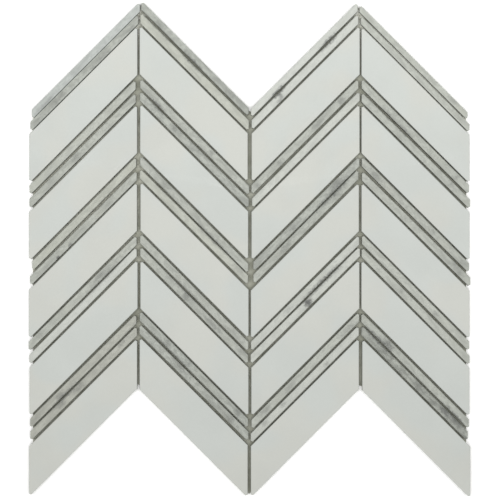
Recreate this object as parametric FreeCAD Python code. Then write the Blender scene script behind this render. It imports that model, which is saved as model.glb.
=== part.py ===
import FreeCAD, Part
import math
import os
import random

# Chevron mosaic sheet for walls: sawn and polished marble chips, bonded by a film of resin to a net of
# glass-fibre yarns. It lies face up. Millimetres, X across the columns, Y towards the peaks of the chevrons,
# Z out of the face. The origin is under the middle of the sheet, at the underside of the net.

# Stone chips, all mitred at their ends so that the long sides slope
mitre_angle = 45.0  # slope of the long sides, in degrees
column_width = 74.35  # how far a chip reaches across its column
wide_chip_width = 23.75  # square to the long sides
strip_width = 4.9  # square to the long sides
stone_thickness = 9.5
arris = 0.35  # bevel round the polished face
tip_nip = 2.0  # how far the brittle sharp corners are broken back along each side

# Pattern: in each course of a column, narrow strips above one wide chip
course_count = 5
strips_per_course = 2

# Open joints
course_joint = 1.45  # between long sides, square to them
upright_joints = (1.85, 2.1, 1.7)  # between the columns, from the left
column_count = len(upright_joints) + 1

# The top course was trimmed and laid by eye. For each column, from the wide chip upwards: the share of the
# course joint under a strip, and the strip's share of the usual width.
top_course_shares = (
    ((0.45, 1.0), (0.2, 1.0)),
    ((0.85, 1.13), (1.15, 0.9)),
    ((1.0, 1.03), (1.0, 0.93)),
    ((0.5, 0.86), (0.7, 0.78)),
)

# The bottom course closes the sheet with wider chips, by this much in each column
bottom_chip_extras = (0.8, 1.8, 1.2, 1.4)

# Hand laying: how far each column was laid towards the peaks
column_lifts = (0.0, 0.3, 0.1, -0.4)

# How far the strips' ends stand back from the sides of their column: left and right of the upper strip, then
# left and right of the lower one, course by course in each column. A negative end stands out into the joint.
strip_setbacks = (
    (
        (1.7, -1.7, 0.7, -0.6),
        (0.1, 1.2, 0.0, 1.1),
        (1.8, 0.7, 0.6, 0.5),
        (-0.3, 0.7, -0.2, 0.3),
        (0.7, 0.9, 0.8, 0.5),
    ),
    (
        (0.8, -0.3, 0.2, -0.4),
        (0.2, -0.5, 0.0, -0.3),
        (-0.1, -0.1, 0.0, 0.3),
        (-0.1, -0.2, -0.1, 0.0),
        (-0.3, 0.2, -0.3, 0.0),
    ),
    (
        (-0.2, 1.1, 0.3, 0.7),
        (0.2, 0.7, 0.5, -0.3),
        (1.5, 0.0, 1.4, 0.5),
        (0.0, 0.3, -0.3, -0.3),
        (0.1, 0.0, -0.4, 0.3),
    ),
    (
        (-1.6, 1.5, -0.7, 0.2),
        (0.0, 0.7, 0.0, 0.0),
        (0.0, 0.6, 0.3, -0.1),
        (0.0, 0.4, -0.3, 0.0),
        (-0.3, 0.7, -0.3, 1.4),
    ),
)

# Smaller laying errors, as shares of the joints beside a chip
laying_seed = 11
slide_share = 0.2  # along the slope
lift_share = 0.15  # square to the slope
skew_share = 0.2  # movement of a strip's ends as it turns about its middle, square to the slope

# Backing: a net of yarns, the weft under the warp, and the film of resin between the net and the stones
net_pitch = 5.0
yarn_width = 0.7
yarn_thickness = 0.25
film_thickness = 0.2
backing_margin = 2.0  # how far the backing is trimmed back from the outline of the stones

# Worked out from the sizes above
slope = math.tan(math.radians(mitre_angle))
across = math.cos(math.radians(mitre_angle))
net_thickness = 2 * yarn_thickness
stone_bed = net_thickness + film_thickness
sheet_width = column_count * column_width + sum(upright_joints)
chip_length = column_width / across
wide_chip_rise = wide_chip_width / across
strip_rise = strip_width / across
joint_rise = course_joint / across
course_rise = strips_per_course * (strip_rise + joint_rise) + wide_chip_rise + joint_rise
column_rise = course_count * course_rise - joint_rise


def column_left(column):
    """X of the left side of a column."""
    return column * column_width + sum(upright_joints[:column]) - sheet_width / 2


def leaning(column):
    """Plus one where the long sides rise to the right, minus one where they fall."""
    return 1 if column % 2 == 0 else -1


def chip(column, width, middle_y, setbacks, lift, skew):
    """One chip, its ends set back from its column's sides, lifted square to its slope and turned."""
    lean = leaning(column)
    left, right = setbacks
    half_reach = (column_width - left - right) / 2
    half_rise = width / across / 2
    drop = lean * slope * half_reach
    corners = [
        FreeCAD.Vector(-half_reach, -drop - half_rise, 0),
        FreeCAD.Vector(half_reach, drop - half_rise, 0),
        FreeCAD.Vector(half_reach, drop + half_rise, 0),
        FreeCAD.Vector(-half_reach, -drop + half_rise, 0),
    ]
    outline = Part.Face(Part.makePolygon(corners + corners[:1]))
    stone = outline.extrude(FreeCAD.Vector(0, 0, stone_thickness))
    upright = [e for e in stone.Edges if e.BoundBox.ZLength > stone_thickness / 2]
    sharp = [max(upright, key=lambda e: e.CenterOfMass.y), min(upright, key=lambda e: e.CenterOfMass.y)]
    stone = stone.makeChamfer(tip_nip, sharp)
    stone = stone.makeChamfer(arris, [e for e in stone.Edges if e.BoundBox.ZMin > stone_thickness / 2])
    stone.rotate(FreeCAD.Vector(0, 0, 0), FreeCAD.Vector(0, 0, 1), math.degrees(skew))
    aside = (left - right) / 2
    stone.translate(FreeCAD.Vector(
        column_left(column) + column_width / 2 + aside,
        middle_y + lean * slope * aside + lift / across,
        stone_bed,
    ))
    return stone


def column_top(column, course):
    """Y where a course would begin with strips of the usual width, at the middle of a column."""
    return column_rise / 2 - course * course_rise + column_lifts[column]


def top_strips(column):
    """Width and middle height of each strip in the top course, from the wide chip upwards."""
    edge = column_top(column, 0) - strips_per_course * (strip_rise + joint_rise)
    placed = []
    for joint_share, strip_share in top_course_shares[column]:
        edge += joint_rise * joint_share
        width = strip_width * strip_share
        placed.append((width, edge + width / across / 2))
        edge += width / across
    return placed


def wide_chip(column, course):
    """Width and middle height of a wide chip."""
    width = wide_chip_width
    if course == course_count - 1:
        width += bottom_chip_extras[column]
    edge = column_top(column, course) - strips_per_course * (strip_rise + joint_rise)
    return width, edge - width / across / 2


def lay_strips(column, course, laying):
    """The strips of one course in a column, from the top down."""
    if course == 0:
        places = [(width, middle_y, 0, 0) for width, middle_y in reversed(top_strips(column))]
    else:
        places = []
        for strip in range(strips_per_course):
            middle_y = column_top(column, course) - strip * (strip_rise + joint_rise) - strip_rise / 2
            lift = laying.uniform(-1, 1) * lift_share * course_joint
            skew = laying.uniform(-1, 1) * skew_share * course_joint / (chip_length / 2)
            places.append((strip_width, middle_y, lift, skew))
    ends = strip_setbacks[column][course]
    laid = []
    for strip, (width, middle_y, lift, skew) in enumerate(places):
        laid.append(chip(column, width, middle_y, ends[2 * strip:2 * strip + 2], lift, skew))
    return laid


def lay_wide_chip(column, course, laying):
    """The wide chip of one course in a column, lying square, steadied by its own width."""
    width, middle_y = wide_chip(column, course)
    slide = laying.uniform(-1, 1) * slide_share * min(upright_joints)
    lift = laying.uniform(-1, 1) * lift_share * course_joint
    return chip(column, width, middle_y, (slide, -slide), lift, 0)


def backing_outline():
    """The zigzag that the net and its film are trimmed to, as a flat face at the underside of the net."""
    upper = []
    lower = []
    for column in range(column_count):
        half_reach = column_width / 2
        drop = leaning(column) * slope * half_reach
        strip, strip_middle = top_strips(column)[-1]
        bottom, bottom_middle = wide_chip(column, course_count - 1)
        for side in (-1, 1):
            x = column_left(column) + half_reach + side * half_reach
            upper.append(FreeCAD.Vector(x, side * drop + strip_middle + strip / across / 2, 0))
            lower.append(FreeCAD.Vector(x, side * drop + bottom_middle - bottom / across / 2, 0))
    outline = Part.Face(Part.makePolygon(upper + lower[::-1] + upper[:1]))
    mitred = 2
    return outline.makeOffset2D(-backing_margin, mitred)


def yarns(patch, along_y):
    """Parallel yarns trimmed to the patch: the warp along Y, or the weft along X under it."""
    box = patch.BoundBox
    run, spread = (box.YLength, box.XLength) if along_y else (box.XLength, box.YLength)
    each_side = int(spread / 2 / net_pitch)
    trimmed = []
    for k in range(-each_side, each_side + 1):
        edge = k * net_pitch - yarn_width / 2
        if along_y:
            corner = FreeCAD.Vector(edge, box.YMin, yarn_thickness)
            yarn = Part.makeBox(yarn_width, run, yarn_thickness, corner)
        else:
            yarn = Part.makeBox(run, yarn_width, yarn_thickness, FreeCAD.Vector(box.XMin, edge, 0))
        for piece in yarn.common(patch).Solids:
            # An end shorter than one opening holds nothing and falls away in trimming
            if max(piece.BoundBox.XLength, piece.BoundBox.YLength) > net_pitch:
                trimmed.append(piece)
    return trimmed


nodes = {}
laying = random.Random(laying_seed)
for column in range(column_count):
    for course in range(course_count):
        place = f"col{column + 1}_row{course + 1}"
        nodes[f"strips_{place}"] = lay_strips(column, course, laying)
        nodes[f"wide_chip_{place}"] = [lay_wide_chip(column, course, laying)]

# The whole sheet is moved so that the origin is under the middle of it
sheet = Part.makeCompound([stone for solids in nodes.values() for stone in solids]).BoundBox
to_middle = FreeCAD.Vector(-sheet.Center.x, -sheet.Center.y, 0)
for solids in nodes.values():
    for stone in solids:
        stone.translate(to_middle)
backing = backing_outline()
backing.translate(to_middle)
patch = backing.extrude(FreeCAD.Vector(0, 0, net_thickness))
nodes["net_warp"] = yarns(patch, along_y=True)
nodes["net_weft"] = yarns(patch, along_y=False)
film = backing.extrude(FreeCAD.Vector(0, 0, film_thickness))
film.translate(FreeCAD.Vector(0, 0, net_thickness))
nodes["resin_film"] = film.Solids
os.makedirs("parts", exist_ok=True)
for name, solids in nodes.items():
    shape = solids[0] if len(solids) == 1 else Part.makeCompound(solids)
    shape.exportStep(f"parts/{name}.step")
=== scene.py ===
import math

import bpy
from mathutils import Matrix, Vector


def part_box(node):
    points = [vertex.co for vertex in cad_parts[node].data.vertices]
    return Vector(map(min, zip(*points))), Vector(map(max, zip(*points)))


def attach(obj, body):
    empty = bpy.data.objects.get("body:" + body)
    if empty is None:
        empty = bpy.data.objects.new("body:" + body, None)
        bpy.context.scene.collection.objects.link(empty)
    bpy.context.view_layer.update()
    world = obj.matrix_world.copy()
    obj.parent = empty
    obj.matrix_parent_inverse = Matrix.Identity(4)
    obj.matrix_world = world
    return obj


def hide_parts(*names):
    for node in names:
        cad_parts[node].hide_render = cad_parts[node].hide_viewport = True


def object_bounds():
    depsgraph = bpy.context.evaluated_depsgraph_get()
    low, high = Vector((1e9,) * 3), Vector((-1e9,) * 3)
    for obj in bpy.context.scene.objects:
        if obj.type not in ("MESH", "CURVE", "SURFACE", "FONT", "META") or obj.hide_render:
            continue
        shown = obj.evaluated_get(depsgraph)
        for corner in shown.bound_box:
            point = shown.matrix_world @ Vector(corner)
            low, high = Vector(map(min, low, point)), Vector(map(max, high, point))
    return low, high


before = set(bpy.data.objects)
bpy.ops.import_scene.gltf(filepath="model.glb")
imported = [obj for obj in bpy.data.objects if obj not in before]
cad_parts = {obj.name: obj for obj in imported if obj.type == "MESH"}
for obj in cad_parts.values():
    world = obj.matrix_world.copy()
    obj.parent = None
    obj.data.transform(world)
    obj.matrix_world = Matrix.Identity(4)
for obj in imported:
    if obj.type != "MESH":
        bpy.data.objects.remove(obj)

# A chevron mosaic sheet, lying face up on white paper under soft studio light. Metres, in the part's frame.
# The stones and the resin are the part's own solids with finishes; the plain net is replaced by a woven one.

cad_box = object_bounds()
MM = 0.001
THIN = 0.001 * MM  # points closer than this are one
ON_EDGE = 0.05 * MM  # corners closer than this to the side of a yarn are on it
X, Y = 0, 1

# The photograph's framing of the sheet
PHOTO_SIDE = 500  # pixels
PHOTO_SCALE = 0.6879 * MM  # of the stone face, to one pixel
SHEET_MIDDLE = (249.47, 249.45)  # of the sheet in the photograph, in pixels
CAMERA_HEIGHT = 2.6

# Layout of the sheet
COLUMNS = 4
COURSES = 5
SLOPE = math.radians(45)  # of the stones' long sides
STONE_BACK, STONE_FACE = [corner.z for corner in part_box("wide_chip_col1_row1")]
NET_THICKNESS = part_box("net_warp")[1].z
NET_PITCH = 5.0 * MM


def place_name(column, course):
    """The end of the names of the stones in one course of a column, as in the part."""
    return f"col{column + 1}_row{course + 1}"


def leaning(column):
    """Plus one where the long sides rise to the right, minus one where they fall."""
    return 1 if column % 2 == 0 else -1


def strips_middle(column, course):
    """The middle of a pair of strips."""
    low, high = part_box(f"strips_{place_name(column, course)}")
    return (low + high) / 2


# Small helpers for meshes and shader nodes

def deselect_all():
    bpy.ops.object.select_all(action="DESELECT")


def choose(piece):
    """Makes the piece the only selected object, and the active one."""
    deselect_all()
    piece.select_set(True)
    bpy.context.view_layer.objects.active = piece


def edit_all(piece):
    """Opens the piece in edit mode with everything in it selected."""
    choose(piece)
    bpy.ops.object.mode_set(mode="EDIT")
    bpy.ops.mesh.select_all(action="SELECT")


def leave_edit():
    bpy.ops.object.mode_set(mode="OBJECT")


def add_node(tree, kind, inputs=None, **settings):
    """A shader node with its settings made and its inputs given values or joined to other nodes' outputs."""
    made = tree.nodes.new("ShaderNode" + kind)
    made.location = (180 * len(tree.nodes), 0)
    for name, value in settings.items():
        setattr(made, name, value)
    for socket, value in (inputs or {}).items():
        if isinstance(value, bpy.types.NodeSocket):
            tree.links.new(value, made.inputs[socket])
        else:
            made.inputs[socket].default_value = value
    return made


def maths(tree, operation, first, second=0.0, third=0.0):
    """The result of one Math node."""
    return add_node(tree, "Math", {0: first, 1: second, 2: third}, operation=operation).outputs[0]


def ramp(tree, value, low, high, start=0.0, end=1.0):
    """The value's place between low and high, smoothed and clamped, as start to end."""
    inputs = {"Value": value, "From Min": low, "From Max": high, "To Min": start, "To Max": end}
    return add_node(tree, "MapRange", inputs, interpolation_type="SMOOTHSTEP").outputs["Result"]


def mix(tree, share, one, other, how="MIX"):
    """One colour turned into the other by share, which goes from 0 to 1."""
    return add_node(tree, "Mix", {0: share, 6: one, 7: other}, data_type="RGBA", blend_type=how).outputs[2]


def mix_values(tree, share, one, other):
    """One value turned into the other by share, which goes from 0 to 1."""
    return add_node(tree, "Mix", {0: share, 2: one, 3: other}).outputs[0]


def noise(tree, vector, scale, detail=3.0, seed=0.0, distortion=0.0):
    """Four-dimensional noise, whose fourth coordinate is the seed of a stone."""
    inputs = {"Vector": vector, "W": seed, "Scale": scale, "Detail": detail, "Distortion": distortion}
    return add_node(tree, "TexNoise", inputs, noise_dimensions="4D").outputs[0]


def new_group(name, inputs, outputs):
    """A shader node group with its named sockets, and its input and output nodes."""
    tree = bpy.data.node_groups.new(name, "ShaderNodeTree")
    for socket, kind, value in inputs:
        made = tree.interface.new_socket(socket, in_out="INPUT", socket_type="NodeSocket" + kind)
        if value is not None:
            made.default_value = value
    for socket, kind in outputs:
        tree.interface.new_socket(socket, in_out="OUTPUT", socket_type="NodeSocket" + kind)
    return tree, tree.nodes.new("NodeGroupInput").outputs, tree.nodes.new("NodeGroupOutput").inputs


def use_group(tree, group, inputs):
    """The outputs of a node group placed in a material."""
    return add_node(tree, "Group", inputs, node_tree=group).outputs


def grey(level, red=0.97, blue=0.94):
    """A stone colour of some lightness, with a slight green cast unless red and blue say otherwise."""
    return (level * red, level, level * blue, 1.0)


# Effects that several finishes share

# Grey dusting and painted shade: darkens the stones' sides low down in the deep joints, where shade falls
GREY_DUST_AND_SHADE = (0.2, 0.2, 0.165, 1.0)
# Painted light: a near white that makes the joints at the top of the outer columns paler
PAINTED_JOINT_LIGHT = (0.85, 0.85, 0.8, 1.0)


def marble_figure():
    """Grey marble: drawn-out clouds, mottling, thin broken veins, warm stains and a fine grain."""
    inputs = [
        ("Vector", "Vector", None),
        ("Seed", "Float", 0.0),
        ("Ground", "Color", grey(0.38)),
        ("Shade", "Color", grey(0.22)),
        ("Stain", "Color", grey(0.34, 0.985, 0.87)),
        ("Clouds", "Float", 0.5),
        ("Veins", "Float", 0.5),
        ("Stains", "Float", 0.2),
    ]
    tree, given, result = new_group("marble_figure", inputs, [("Color", "Color"), ("Height", "Float")])
    drawn_out = add_node(tree, "Mapping", {"Vector": given["Vector"], "Scale": (0.3, 1.0, 0.6)}).outputs[0]
    seed = given["Seed"]
    cloud = ramp(tree, noise(tree, drawn_out, 0.24, 5.0, seed, 0.6), 0.4, 0.68)
    shorter = add_node(tree, "Mapping", {"Vector": given["Vector"], "Scale": (0.6, 1.0, 1.0)}).outputs[0]
    mottled = noise(tree, shorter, 0.55, 4.0, maths(tree, "ADD", seed, 3.0), 0.4)
    mottle = ramp(tree, mottled, 0.38, 0.66, 0.0, 0.8)
    cloud = maths(tree, "MULTIPLY", maths(tree, "MAXIMUM", cloud, mottle), given["Clouds"])
    colour = mix(tree, cloud, given["Ground"], given["Shade"])
    # Veins follow the lines where the swirled noise is one half
    swirled = noise(tree, drawn_out, 0.12, 4.0, seed, 1.6)
    from_line = maths(tree, "ABSOLUTE", maths(tree, "SUBTRACT", swirled, 0.5))
    unbroken = ramp(tree, noise(tree, given["Vector"], 0.05, 1.0, seed), 0.45, 0.62)
    vein = maths(tree, "MULTIPLY", ramp(tree, from_line, 0.0, 0.035, 1.0, 0.0), unbroken)
    colour = mix(tree, maths(tree, "MULTIPLY", vein, given["Veins"]), colour, given["Shade"])
    warm = noise(tree, given["Vector"], 0.07, 2.0, maths(tree, "ADD", seed, 7.0))
    stained = ramp(tree, warm, 0.5, 0.75)
    colour = mix(tree, maths(tree, "MULTIPLY", stained, given["Stains"]), colour, given["Stain"])
    grain = noise(tree, given["Vector"], 2.2, 2.0, seed)
    colour = mix(tree, 0.12, colour, mix(tree, grain, grey(0.12), grey(0.8)), "OVERLAY")
    tree.links.new(colour, result["Color"])
    tree.links.new(maths(tree, "SUBTRACT", grain, maths(tree, "MULTIPLY", vein, 0.5)), result["Height"])
    return tree


def crystal_figure():
    """White stone: fine interlocked crystals, a little lighter or darker, under faint clouds and tints."""
    inputs = [("Vector", "Vector", None), ("Ground", "Color", grey(0.452)), ("Shade", "Color", grey(0.43))]
    tree, given, result = new_group("crystal_figure", inputs, [("Color", "Color"), ("Height", "Float")])
    crystal = add_node(tree, "TexVoronoi", {"Vector": given["Vector"], "Scale": 1.4}).outputs["Color"]
    tilt = add_node(tree, "SeparateColor", {"Color": crystal}).outputs[0]
    cloud = ramp(tree, noise(tree, given["Vector"], 0.035, 3.0), 0.35, 0.7)
    shade = maths(tree, "ADD", maths(tree, "MULTIPLY", cloud, 0.6), maths(tree, "MULTIPLY", tilt, 0.4))
    colour = mix(tree, shade, given["Ground"], given["Shade"])
    tint = ramp(tree, noise(tree, given["Vector"], 0.03, 1.0, 5.0), 0.4, 0.6)
    tints = mix(tree, tint, (1.012, 1.0, 0.988, 1.0), (0.988, 1.0, 1.008, 1.0))
    tree.links.new(mix(tree, 1.0, colour, tints, "MULTIPLY"), result["Color"])
    tree.links.new(tilt, result["Height"])
    return tree


def soft_blot():
    """A soft-edged spot, patch or short vein, ragged by noise, at a place on the piece."""
    inputs = [
        ("Vector", "Vector", None),
        ("Place", "Vector", None),
        ("Reach", "Vector", None),
        ("Seed", "Float", 0.0),
    ]
    tree, given, result = new_group("soft_blot", inputs, [("Mask", "Float")])
    local = {"Vector": given["Vector"], "Location": given["Place"], "Scale": given["Reach"]}
    centred = add_node(tree, "Mapping", local, vector_type="TEXTURE").outputs[0]
    away = add_node(tree, "VectorMath", {0: centred}, operation="LENGTH").outputs["Value"]
    ragged = maths(tree, "MULTIPLY_ADD", noise(tree, given["Vector"], 0.7, 4.0, given["Seed"]), 1.6, -0.8)
    tree.links.new(ramp(tree, maths(tree, "ADD", away, ragged), 1.2, 0.2), result["Mask"])
    return tree


def sawn_stone():
    """What saw and bench leave on a stone: a pale arris, a matt back and scored sides, with grey dusting and
    painted shade low down the sides, or painted light in the paler joints.
    """
    inputs = [
        ("Vector", "Vector", None),
        ("Color", "Color", grey(0.5)),
        ("Height", "Float", 0.5),
        ("Dust Shade And Light", "Color", GREY_DUST_AND_SHADE),
        ("Polish", "Float", 0.3),
        ("Matt", "Float", 0.75),
    ]
    outputs = [("Color", "Color"), ("Roughness", "Float"), ("Height", "Float")]
    tree, given, result = new_group("sawn_stone", inputs, outputs)
    facing = add_node(tree, "SeparateXYZ", {0: add_node(tree, "TexCoord").outputs["Normal"]}).outputs
    side = ramp(tree, maths(tree, "ABSOLUTE", facing[2]), 0.85, 0.5)
    long_side = ramp(tree, maths(tree, "ABSOLUTE", facing[1]), 0.4, 0.6)
    back = ramp(tree, facing[2], -0.5, -0.85)
    arris = maths(tree, "MULTIPLY", ramp(tree, facing[2], 0.3, 0.5), ramp(tree, facing[2], 0.95, 0.85))
    # Blade marks run along the sides, so the noise is drawn out across the sheet and close set in depth
    scored = add_node(tree, "Mapping", {"Vector": given["Vector"], "Scale": (0.04, 0.04, 2.2)}).outputs[0]
    score = noise(tree, scored, 1.0, 2.0)
    depth = add_node(tree, "SeparateXYZ", {0: given["Vector"]}).outputs[2]
    # Darker down the sides and in the blade scores: grey dusting and painted shade, or painted light in the
    # paler joints
    low_down = ramp(tree, depth, STONE_FACE / MM - 0.4, STONE_BACK / MM + 2.0)
    held = ramp(tree, score, 0.2, 0.8, 0.7, 1.0)
    dust_shade_and_light_share = maths(tree, "MULTIPLY", maths(tree, "MULTIPLY", low_down, side), held)
    # The ends, some of which face out of the sheet, get grey dusting and painted shade, whatever the long
    # joints get
    dust_shade_and_light = mix(tree, long_side, GREY_DUST_AND_SHADE, given["Dust Shade And Light"])
    colour = mix(tree, dust_shade_and_light_share, given["Color"], dust_shade_and_light)
    colour = mix(tree, maths(tree, "MULTIPLY", arris, 0.12), colour, grey(0.6))
    rough = maths(tree, "MAXIMUM", side, back)
    tree.links.new(colour, result["Color"])
    tree.links.new(mix_values(tree, rough, given["Polish"], given["Matt"]), result["Roughness"])
    tree.links.new(mix_values(tree, rough, given["Height"], score), result["Height"])
    return tree


def glass_filaments():
    """Coated glass: fine pale filaments that run along a yarn, glued together by resin in places."""
    inputs = [("Vector", "Vector", None), ("Stretch", "Vector", None)]
    outputs = [("Color", "Color"), ("Roughness", "Float"), ("Height", "Float")]
    tree, given, result = new_group("glass_filaments", inputs, outputs)
    stretched = add_node(tree, "Mapping", {"Vector": given["Vector"], "Scale": given["Stretch"]}).outputs[0]
    strand = noise(tree, stretched, 1.0, 3.0)
    glued = ramp(tree, noise(tree, given["Vector"], 0.2, 2.0), 0.4, 0.7)
    colour = mix(tree, strand, (0.6, 0.61, 0.5, 1.0), (0.8, 0.81, 0.7, 1.0))
    colour = mix(tree, maths(tree, "MULTIPLY", glued, 0.35), colour, (0.5, 0.47, 0.38, 1.0))
    tree.links.new(colour, result["Color"])
    tree.links.new(ramp(tree, glued, 0.0, 1.0, 0.6, 0.35), result["Roughness"])
    tree.links.new(strand, result["Height"])
    return tree


MARBLE_FIGURE = marble_figure()
CRYSTAL_FIGURE = crystal_figure()
SOFT_BLOT = soft_blot()
SAWN_STONE = sawn_stone()
GLASS_FILAMENTS = glass_filaments()


# Finishes

def new_finish(name):
    """A material with its Principled BSDF, ready for nodes."""
    finish = bpy.data.materials.new(name)
    finish.use_nodes = True
    return finish, finish.node_tree, finish.node_tree.nodes["Principled BSDF"]


def in_millimetres(tree, middle=(0, 0, 0), turn=0.0):
    """Object coordinates in millimetres, from a middle in metres and turned about Z."""
    inputs = {
        "Vector": add_node(tree, "TexCoord").outputs["Object"],
        "Location": middle,
        "Rotation": (0, 0, turn),
        "Scale": (MM, MM, MM),
    }
    return add_node(tree, "Mapping", inputs, vector_type="TEXTURE").outputs[0]


def along_strips(tree, column, course):
    """Object coordinates in millimetres, from the middle of a pair of strips and turned to lie along it."""
    return in_millimetres(tree, strips_middle(column, course), leaning(column) * SLOPE)


def finish_stone(tree, shader, colour, height, dust_shade_and_light, polish, bump_distance):
    """Joins a stone's figure to its shader through the marks of sawing and polishing, with grey dusting and
    painted shade low on its sides, or painted light in the paler joints.
    """
    inputs = {
        "Vector": in_millimetres(tree),
        "Color": colour,
        "Height": height,
        "Dust Shade And Light": dust_shade_and_light,
        "Polish": polish,
    }
    worked = use_group(tree, SAWN_STONE, inputs)
    bump = add_node(tree, "Bump", {"Height": worked["Height"], "Strength": 0.35, "Distance": bump_distance})
    tree.links.new(worked["Color"], shader.inputs["Base Color"])
    tree.links.new(worked["Roughness"], shader.inputs["Roughness"])
    tree.links.new(bump.outputs[0], shader.inputs["Normal"])


def white_stone(name, dust_shade_and_light):
    """The white, nearly even stone of the wide chips, honed smooth, with grey dusting and painted shade low
    on its sides, or painted light beside the paler joints.
    """
    finish, tree, shader = new_finish(name)
    figure = use_group(tree, CRYSTAL_FIGURE, {"Vector": in_millimetres(tree)})
    finish_stone(tree, shader, figure["Color"], figure["Height"], dust_shade_and_light, 0.34, 0.03 * MM)
    return finish


# Kinds of marble strip: lightness of the ground and of the shade, red and blue, clouds, veins and stains
KINDS = {
    "pale": (0.445, 0.335, 0.972, 0.93, 0.5, 0.2, 0.1),
    "pearl": (0.432, 0.31, 0.972, 0.925, 0.55, 0.3, 0.2),
    "light": (0.387, 0.26, 0.967, 0.905, 0.7, 0.35, 0.3),
    "cream": (0.39, 0.27, 0.975, 0.885, 0.65, 0.3, 0.8),
    "bluish": (0.387, 0.275, 0.95, 0.955, 0.75, 0.25, 0.0),
    "grey": (0.363, 0.235, 0.965, 0.905, 0.75, 0.4, 0.3),
    "rosy": (0.36, 0.245, 0.99, 0.89, 0.75, 0.4, 0.5),
    "dull": (0.347, 0.205, 0.96, 0.91, 0.8, 0.5, 0.2),
    "smoky": (0.32, 0.145, 0.96, 0.9, 0.85, 0.6, 0.1),
}
# The kinds of the two strips in each course, upper and lower, from the top of each column down
LAID = [
    [("bluish", "dull"), ("light", "grey"), ("cream", "grey"), ("light", "pale"), ("rosy", "rosy")],
    [("dull", "cream"), ("grey", "dull"), ("grey", "cream"), ("grey", "grey"), ("dull", "dull")],
    [("pale", "pale"), ("grey", "pearl"), ("dull", "grey"), ("pearl", "pearl"), ("light", "pearl")],
    [("light", "light"), ("grey", "grey"), ("grey", "grey"), ("light", "light"), ("grey", "smoky")],
]
# Column and course of the pairs of strips whose close joints are painted paler: painted light on the stones'
# sides and on the resin below
PAINTED_LIGHT_PAIRS = [(0, 0), (3, 0)]
OUTER_SIDE = 3.5  # millimetres from the middle of a pair: the side at the sheet's edge lies farther out
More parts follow.
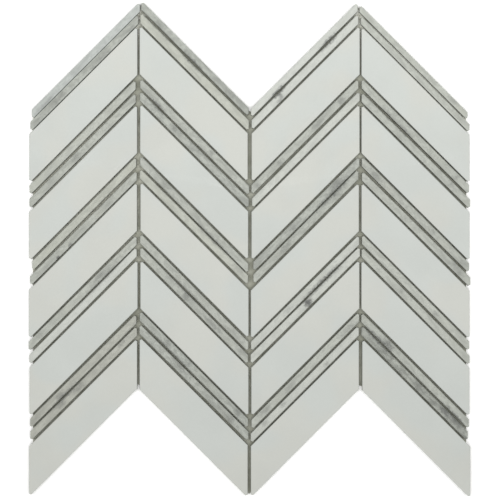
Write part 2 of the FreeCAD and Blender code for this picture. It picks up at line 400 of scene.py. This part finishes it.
# The darkest spots and veins in millimetres: place along and across the pair, reach along and across, and
# last the depth of shade, up to 1
BLOTS = {
    "col1_row1": [
        (-32, -2.4, 15, 3, 0.35),
        (-38, 1.2, 12, 2, 0.3),
        (12, -3.8, 9, 2.2, 0.35),
        (-8, 2.5, 7, 3, 0.12),
    ],
    "col1_row2": [(-10, -3, 6, 2.6, 0.35), (30, 3, 5, 3, 0.12)],
    "col1_row3": [(-30, -5.6, 2.2, 2.2, 1.0), (-18, -5.6, 2, 2, 0.8), (20, 0, 30, 1.7, 0.5)],
    "col1_row4": [
        (27, 2.6, 22, 3.4, 0.25),
        (21, 3.4, 8, 2.2, 0.3),
        (-38, 3.5, 5, 2.8, 0.2),
        (16, 0, 24, 1.8, 0.5),
    ],
    "col1_row5": [
        (-20, 3, 6, 3, 0.35),
        (-18, 0.2, 16, 2.2, 0.85),
        (-7, -2.7, 7, 2.6, 0.45),
        (-23, -2.5, 5, 2.4, 0.35),
        (35, -2.2, 4, 2, 0.35),
        (-44, 3, 6, 2.4, 0.3),
    ],
    "col2_row1": [
        (-3, 0.8, 15, 2.5, 1.0),
        (-36, 0.8, 20, 2, 0.65),
        (30, 4, 6, 2, 0.3),
        (-37, 3.5, 5, 2.2, 0.3),
    ],
    "col2_row2": [
        (-37, 0, 10, 2.4, 0.9),
        (-15, -2.4, 8, 2.6, 0.35),
        (13, 3.4, 3, 3, 0.35),
        (6, -0.3, 16, 1.8, 0.5),
    ],
    "col2_row3": [
        (-30, 3.2, 6, 2.8, 0.3),
        (18, -0.2, 20, 1.9, 0.65),
        (46, -2.8, 6, 2.6, 0.3),
        (-28, 0, 12, 1.8, 0.6),
    ],
    "col2_row4": [
        (-5, -2.8, 3.2, 3.6, 0.45),
        (22, -3.4, 10, 2.2, 0.4),
        (-5, 0, 20, 2, 0.65),
        (48, -3, 5, 3, 0.25),
    ],
    "col2_row5": [
        (-29, 3, 4, 3, 0.45),
        (39, 3.2, 3.6, 3.2, 0.45),
        (38.5, -3, 3.6, 3.2, 0.4),
        (-11, -2.6, 6, 2.6, 0.35),
        (-22, 0.2, 28, 1.9, 0.7),
        (-8, 3.4, 5, 2.4, 0.25),
    ],
    "col3_row1": [
        (-25, 0.2, 9, 2.4, 1.0),
        (23, 0.2, 12, 2.5, 1.0),
        (-26, -2.4, 2, 2.2, 0.55),
        (-28, -4.6, 4, 1.6, 0.5),
    ],
    "col3_row2": [
        (-22, 2.8, 3.4, 3, 0.4),
        (38, 3.2, 3.4, 3, 0.45),
        (15, 3.4, 8, 2.8, 0.35),
        (-44, 3, 3.4, 3, 0.35),
    ],
    "col3_row3": [
        (33, 3.2, 7, 2.8, 0.5),
        (28, 0.1, 20, 2.5, 0.85),
        (-10, 2.8, 5, 2.8, 0.35),
        (-22, -2.6, 8, 2.8, 0.4),
        (27, -3, 7, 2.4, 0.35),
    ],
    "col3_row4": [(0, -2.9, 4, 4.4, 1.0), (16, 0.3, 26, 2.2, 0.9), (-14, 3, 6, 2.4, 0.2)],
    "col3_row5": [
        (-36, 3.2, 9, 2.8, 0.3),
        (-12, 2.8, 7, 2.8, 0.3),
        (45, 2.8, 9, 2.8, 0.35),
        (-24, -2.4, 3.4, 2, 0.35),
        (-42, -2.4, 3.4, 2.2, 0.3),
        (17, -3.6, 2.4, 2.2, 0.35),
    ],
    "col4_row1": [(34, 3, 6, 2.4, 0.35), (16, 3.2, 5, 2.4, 0.25), (44, -2, 8, 2.4, 0.25)],
    "col4_row2": [
        (-27, 0.2, 9, 2.2, 0.75),
        (-12, 0.2, 8, 2.2, 0.9),
        (36, 3.2, 2, 3, 0.4),
        (37, -2.6, 2, 2.8, 0.3),
    ],
    "col4_row3": [
        (-42, 2.8, 8, 2.8, 0.45),
        (13, 2.8, 4, 2.6, 0.25),
        (44, 3.2, 5, 2.6, 0.35),
        (42, -2.8, 8, 3, 0.35),
    ],
    "col4_row4": [(17, 3, 3.4, 2.6, 0.3), (-11, -3, 2.4, 2, 0.25)],
    "col4_row5": [
        (-29, 2.6, 6, 2.8, 0.7),
        (-36, -0.2, 16, 2.3, 1.0),
        (37, -0.4, 18, 2.5, 0.95),
        (31, -2.6, 5, 2.2, 0.65),
        (37, -2.8, 14, 3, 0.4),
        (8, -2.8, 9, 2.8, 0.35),
    ],
}


def strip_pair_finish(column, course):
    """Marble for one pair of strips, of one kind above the joint between them and another below it."""
    finish, tree, shader = new_finish(f"marble_{place_name(column, course)}")
    on_pair = along_strips(tree, column, course)
    middle = strips_middle(column, course)
    figures = []
    for number, kind in enumerate(LAID[column][course]):
        ground, shade, red, blue, clouds, veins, stains = KINDS[kind]
        # Far apart for neighbours, so that no two strips have the same figure
        seed = 97.0 * middle[0] / MM + 13.0 * middle[1] / MM + 41.0 * number
        inputs = {
            "Vector": on_pair,
            "Seed": seed,
            "Ground": grey(ground, red, blue),
            "Shade": grey(shade, red, blue),
            "Stain": grey(ground * 0.93, 0.985, 0.86),
            "Clouds": clouds,
            "Veins": veins,
            "Stains": stains,
        }
        figures.append(use_group(tree, MARBLE_FIGURE, inputs))
    across = add_node(tree, "SeparateXYZ", {0: on_pair}).outputs[Y]
    is_lower = maths(tree, "LESS_THAN", across, 0.0)
    colour = mix(tree, is_lower, figures[0]["Color"], figures[1]["Color"])
    for along, aside, length, width, depth in BLOTS.get(place_name(column, course), []):
        inputs = {"Vector": on_pair, "Place": (along, aside, 0), "Reach": (length, width, 20), "Seed": along}
        mask = use_group(tree, SOFT_BLOT, inputs)["Mask"]
        colour = mix(tree, maths(tree, "MULTIPLY", mask, depth), colour, grey(0.1))
    # Grey dusting and painted shade low on the sides
    dust_shade_and_light = GREY_DUST_AND_SHADE
    # In those pairs the sides in the close joints get painted light; the side at the sheet's edge keeps the
    # grey
    if (column, course) in PAINTED_LIGHT_PAIRS:
        dust_shade_and_light = mix(tree, maths(tree, "GREATER_THAN", across, OUTER_SIDE), PAINTED_JOINT_LIGHT, GREY_DUST_AND_SHADE)
    finish_stone(tree, shader, colour, figures[0]["Height"], dust_shade_and_light, 0.28, 0.02 * MM)
    return finish


def coated_yarn(name, along):
    """Coated glass yarn, with its filaments along an axis."""
    finish, tree, shader = new_finish(name)
    stretch = [6.0, 6.0, 6.0]
    stretch[along] = 0.25
    glass = use_group(tree, GLASS_FILAMENTS, {"Vector": in_millimetres(tree), "Stretch": stretch})
    bump = add_node(tree, "Bump", {"Height": glass["Height"], "Strength": 0.5, "Distance": 0.05 * MM})
    tree.links.new(glass["Color"], shader.inputs["Base Color"])
    tree.links.new(glass["Roughness"], shader.inputs["Roughness"])
    tree.links.new(bump.outputs[0], shader.inputs["Normal"])
    return finish


def cured_resin():
    """The bonding resin: olive grey, partly painted shade of the deep joints, uneven, sunk between the yarns
    and dotted with small bubbles, with painted light where the joints are paler.
    """
    finish, tree, shader = new_finish("cured_resin")
    place = in_millimetres(tree)
    pooled = ramp(tree, noise(tree, place, 0.12, 3.0), 0.35, 0.65)
    # Partly painted shade: the olive grey is kept dark for the shade deep in the joints
    colour = mix(tree, pooled, (0.245, 0.25, 0.203, 1.0), (0.325, 0.33, 0.278, 1.0))
    # Painted light: the film under the upper part of the first column is painted paler
    patch = {"Vector": place, "Place": (-122, 50, 0), "Reach": (52, 80, 50), "Seed": 1.0}
    painted_light_patch = use_group(tree, SOFT_BLOT, patch)["Mask"]
    colour = mix(tree, maths(tree, "MULTIPLY", painted_light_patch, 0.8), colour, (0.55, 0.55, 0.47, 1.0))
    # Painted light on the resin under the pairs with paler joints
    for column, course in PAINTED_LIGHT_PAIRS:
        painted_light_area = {"Vector": along_strips(tree, column, course), "Reach": (62, 14, 50)}
        colour = mix(tree, use_group(tree, SOFT_BLOT, painted_light_area)["Mask"], colour, PAINTED_JOINT_LIGHT)
    bubble = add_node(tree, "TexVoronoi", {"Vector": place, "Scale": 0.9}).outputs["Distance"]
    dot = ramp(tree, bubble, 0.14, 0.06)
    colour = mix(tree, maths(tree, "MULTIPLY", dot, 0.25), colour, (0.15, 0.15, 0.12, 1.0))
    flat = add_node(tree, "SeparateXYZ", {0: place}).outputs
    half_pitch = NET_PITCH / MM / 2
    off_yarns = [maths(tree, "PINGPONG", maths(tree, "ABSOLUTE", flat[axis]), half_pitch) for axis in (X, Y)]
    over_yarn = ramp(tree, maths(tree, "MINIMUM", *off_yarns), 0.9, 0.2)
    height = maths(tree, "SUBTRACT", over_yarn, dot)
    tree.links.new(colour, shader.inputs["Base Color"])
    tree.links.new(ramp(tree, pooled, 0.0, 1.0, 0.6, 0.42), shader.inputs["Roughness"])
    bump = add_node(tree, "Bump", {"Height": height, "Strength": 0.5, "Distance": 0.1 * MM})
    tree.links.new(bump.outputs[0], shader.inputs["Normal"])
    return finish


def paper():
    """Matt white background paper."""
    finish, tree, shader = new_finish("paper")
    fibres = noise(tree, in_millimetres(tree), 0.5, 4.0)
    colour = mix(tree, fibres, (0.95, 0.95, 0.94, 1.0), (0.97, 0.97, 0.96, 1.0))
    tree.links.new(colour, shader.inputs["Base Color"])
    shader.inputs["Roughness"].default_value = 0.9
    shader.inputs["Specular IOR Level"].default_value = 0.1
    return finish


def wear(node, finish):
    """Gives a node of the part its finish."""
    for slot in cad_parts[node].material_slots:
        slot.material = finish


def finish_stones():
    """White stone on the wide chips, and marble on each pair of strips."""
    white = white_stone("white_stone", GREY_DUST_AND_SHADE)
    painted_light_white = white_stone("painted_light_white_stone", PAINTED_JOINT_LIGHT)
    for column in range(COLUMNS):
        for course in range(COURSES):
            # Beside the pairs with paler joints, the wide chips get painted light on their sides
            trimmed = (column, course) in PAINTED_LIGHT_PAIRS
            wear(f"wide_chip_{place_name(column, course)}", painted_light_white if trimmed else white)
            wear(f"strips_{place_name(column, course)}", strip_pair_finish(column, course))


# The woven net

def open_tube(name, along, start, width, thickness, sides, steps):
    """An open tube along an axis: a ring one metre across, turned upright and flattened, then extruded."""
    deselect_all()
    bpy.ops.mesh.primitive_circle_add(vertices=sides, radius=0.5, location=start)
    tube = bpy.context.object
    tube.name = name
    tube.rotation_euler = (math.pi / 2, 0, 0 if along == Y else math.pi / 2)
    bpy.ops.object.transform_apply(location=True, rotation=True, scale=True)
    edit_all(tube)
    flat = (width, 1, thickness) if along == Y else (1, width, thickness)
    bpy.ops.transform.resize(value=flat, center_override=start)
    for step in steps:
        bpy.ops.mesh.extrude_edges_move(TRANSFORM_OT_translate={"value": step})
    leave_edit()
    return tube


def repeat(piece, offset, count):
    """The piece repeated end to end, its ends merged."""
    choose(piece)
    array = piece.modifiers.new("repeat", "ARRAY")
    array.use_relative_offset = False
    array.use_constant_offset = True
    array.constant_offset_displace = offset
    array.count = count
    array.use_merge_vertices = True
    array.merge_threshold = THIN
    bpy.ops.object.modifier_apply(modifier=array.name)


def warp_yarn(reach):
    """A leno warp yarn: two strands that cross between the weft yarns and pass over and under them."""
    spread = 0.2 * MM  # of each strand, from the middle of the yarn
    rise = 0.17 * MM  # of a strand where it passes over a weft yarn
    crossing_rise = 0.09 * MM  # of a strand where it passes over the other
    width = 0.3 * MM
    thickness = 0.15 * MM
    sides = 4
    half = NET_PITCH / 2
    twist = 2 * NET_PITCH
    repeats = 2 * math.ceil(reach / twist) + 2
    strands = []
    for side in (1, -1):
        start = (side * spread, -repeats / 2 * twist, NET_THICKNESS / 2 + side * rise)
        # In four steps of half a pitch the strand goes over to the other side of the yarn and back
        steps = []
        for turn in (-1, -1, 1, 1):
            down = -side if len(steps) % 2 == 0 else side
            steps.append((turn * side * spread, half, down * (rise - crossing_rise)))
        strand = open_tube(f"strand_{len(strands)}", Y, start, width, thickness, sides, steps)
        repeat(strand, (0, twist, 0), repeats)
        strands.append(strand)
    return join(strands, "warp_yarn")


def weft_yarn(reach):
    """A flat weft yarn, pinched where the warp strands hold it and spread between them."""
    width = 0.62 * MM
    thickness = 0.16 * MM
    sides = 6
    half = NET_PITCH / 2
    repeats = 2 * math.ceil(reach / NET_PITCH) + 2
    low = -repeats / 2 * NET_PITCH
    middle = NET_THICKNESS / 2
    steps = [(half, 0, 0), (half, 0, 0)]
    yarn = open_tube("weft_yarn", X, (low, 0, middle), width, thickness, sides, steps)
    edit_all(yarn)
    bpy.ops.mesh.select_all(action="DESELECT")
    leave_edit()
    for vertex in yarn.data.vertices:
        vertex.select = abs(vertex.co.x - low - half) < half / 2
    bpy.ops.object.mode_set(mode="EDIT")
    bpy.ops.transform.resize(value=(1, 1.25, 0.8), center_override=(low + half, 0, middle))
    leave_edit()
    repeat(yarn, (NET_PITCH, 0, 0), repeats)
    return yarn


def join(pieces, name):
    """The pieces as one, under a new name."""
    choose(pieces[0])
    for piece in pieces:
        piece.select_set(True)
    bpy.ops.object.join()
    joined = bpy.context.object
    joined.name = name
    joined.data.name = name
    return joined


def plain_yarns(node):
    """The plain yarns of the part's net: for each, the corners of its outline seen from above."""
    deselect_all()
    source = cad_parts[node]
    copy = bpy.data.objects.new("plain_yarns", source.data.copy())
    bpy.context.scene.collection.objects.link(copy)
    edit_all(copy)
    bpy.ops.mesh.remove_doubles(threshold=THIN)
    bpy.ops.mesh.separate(type="LOOSE")
    leave_edit()
    outlines = []
    for yarn in list(bpy.context.selected_objects):
        outlines.append([vertex.co.copy() for vertex in yarn.data.vertices])
        bpy.data.objects.remove(yarn)
    return outlines


def trim(yarn, corners, along):
    """Cuts both ends of a long yarn off where the plain yarn ends, and at the same slant."""
    across = 1 - along
    edges = [min(c[across] for c in corners), max(c[across] for c in corners)]
    middle = sum(c[along] for c in corners) / len(corners)
    edit_all(yarn)
    for outward in (-1, 1):
        half = [c for c in corners if (c[along] - middle) * outward > 0]
        ends = []
        for edge in edges:
            on_edge = [c for c in half if abs(c[across] - edge) < ON_EDGE]
            ends.append(max(on_edge, key=lambda c: c[along] * outward))
        cut = ends[1] - ends[0]
        normal = Vector((-cut.y, cut.x, 0)).normalized()
        if normal[along] * outward < 0:
            normal.negate()
        bpy.ops.mesh.select_all(action="SELECT")
        cut_off = {"use_fill": True, "clear_outer": True}
        bpy.ops.mesh.bisect(plane_co=ends[0], plane_no=normal, threshold=THIN, **cut_off)
    leave_edit()


def weave(node, name, yarn, along, finish):
    """Lays trimmed copies of a yarn along an axis over the plain yarns of a node, and replaces the node."""
    across = 1 - along
    laid = []
    for corners in plain_yarns(node):
        copy = bpy.data.objects.new(name, yarn.data.copy())
        bpy.context.scene.collection.objects.link(copy)
        offset = [0, 0, 0]
        offset[across] = (min(c[across] for c in corners) + max(c[across] for c in corners)) / 2
        edit_all(copy)
        bpy.ops.transform.translate(value=offset)
        leave_edit()
        trim(copy, corners, along)
        laid.append(copy)
    bpy.data.objects.remove(yarn)
    net = join(laid, name)
    edit_all(net)
    bpy.ops.mesh.normals_make_consistent(inside=False)
    leave_edit()
    bpy.ops.object.shade_smooth_by_angle(angle=math.radians(50))
    net.data.materials.clear()
    net.data.materials.append(finish)
    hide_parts(node)
    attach(net, "root")


finish_stones()
wear("resin_film", cured_resin())
sheet_size = cad_box[1] - cad_box[0]
weave("net_warp", "woven_warp", warp_yarn(sheet_size.y), Y, coated_yarn("warp_yarn_finish", Y))
weave("net_weft", "woven_weft", weft_yarn(sheet_size.x), X, coated_yarn("weft_yarn_finish", X))


# Floor, light and camera

def lay_floor():
    """A wide sheet of white paper under the part."""
    deselect_all()
    bpy.ops.mesh.primitive_plane_add(size=6.0, location=(0, 0, 0))
    floor = bpy.context.object
    floor.name = "paper_floor"
    floor.data.materials.append(paper())


def soft_light(name, place, aim, width, depth, power):
    """A rectangular softbox behind a grid, which lights without being mirrored in the stone."""
    light = bpy.data.lights.new(name, "AREA")
    light.shape = "RECTANGLE"
    light.size = width
    light.size_y = depth
    light.energy = power
    light.spread = math.radians(80)
    box = bpy.data.objects.new(name, light)
    bpy.context.scene.collection.objects.link(box)
    box.location = place
    box.rotation_euler = (Vector(aim) - Vector(place)).to_track_quat("-Z", "Y").to_euler()
    box.visible_camera = False
    box.visible_glossy = False


def set_world():
    """An even grey sky, which fills in the shadows."""
    world = bpy.data.worlds.new("studio")
    world.use_nodes = True
    sky = world.node_tree.nodes["Background"]
    sky.inputs["Color"].default_value = (1, 1, 1, 1)
    sky.inputs["Strength"].default_value = 0.35
    bpy.context.scene.world = world


def set_lights():
    """Two softboxes overhead, tilted towards the peaks, so that the light falls off down the sheet."""
    # The wide one lights all joints alike
    soft_light("wide_softbox", place=(0, 0, 2.4), aim=(0, 0.72, 0), width=2.0, depth=0.6, power=17)
    # The narrow one shines down the joints between the columns
    soft_light("narrow_softbox", place=(0, 0, 2.5), aim=(0, 0.75, 0), width=0.6, depth=2.0, power=5.4)


def set_camera():
    """Looks straight down on the sheet, as large and as far off centre as in the photograph."""
    camera = bpy.data.cameras.new("camera")
    camera.sensor_width = 36.0
    distance = CAMERA_HEIGHT - STONE_FACE
    camera.lens = camera.sensor_width * distance / (PHOTO_SIDE * PHOTO_SCALE)
    camera.clip_end = 20.0
    stand = bpy.data.objects.new("camera", camera)
    bpy.context.scene.collection.objects.link(stand)
    right = (PHOTO_SIDE / 2 - SHEET_MIDDLE[0]) * PHOTO_SCALE
    up = (SHEET_MIDDLE[1] - PHOTO_SIDE / 2) * PHOTO_SCALE
    stand.location = (right, up, CAMERA_HEIGHT)
    bpy.context.scene.camera = stand


lay_floor()
set_world()
set_lights()
set_camera()
bpy.context.scene.view_settings.view_transform = "Standard"
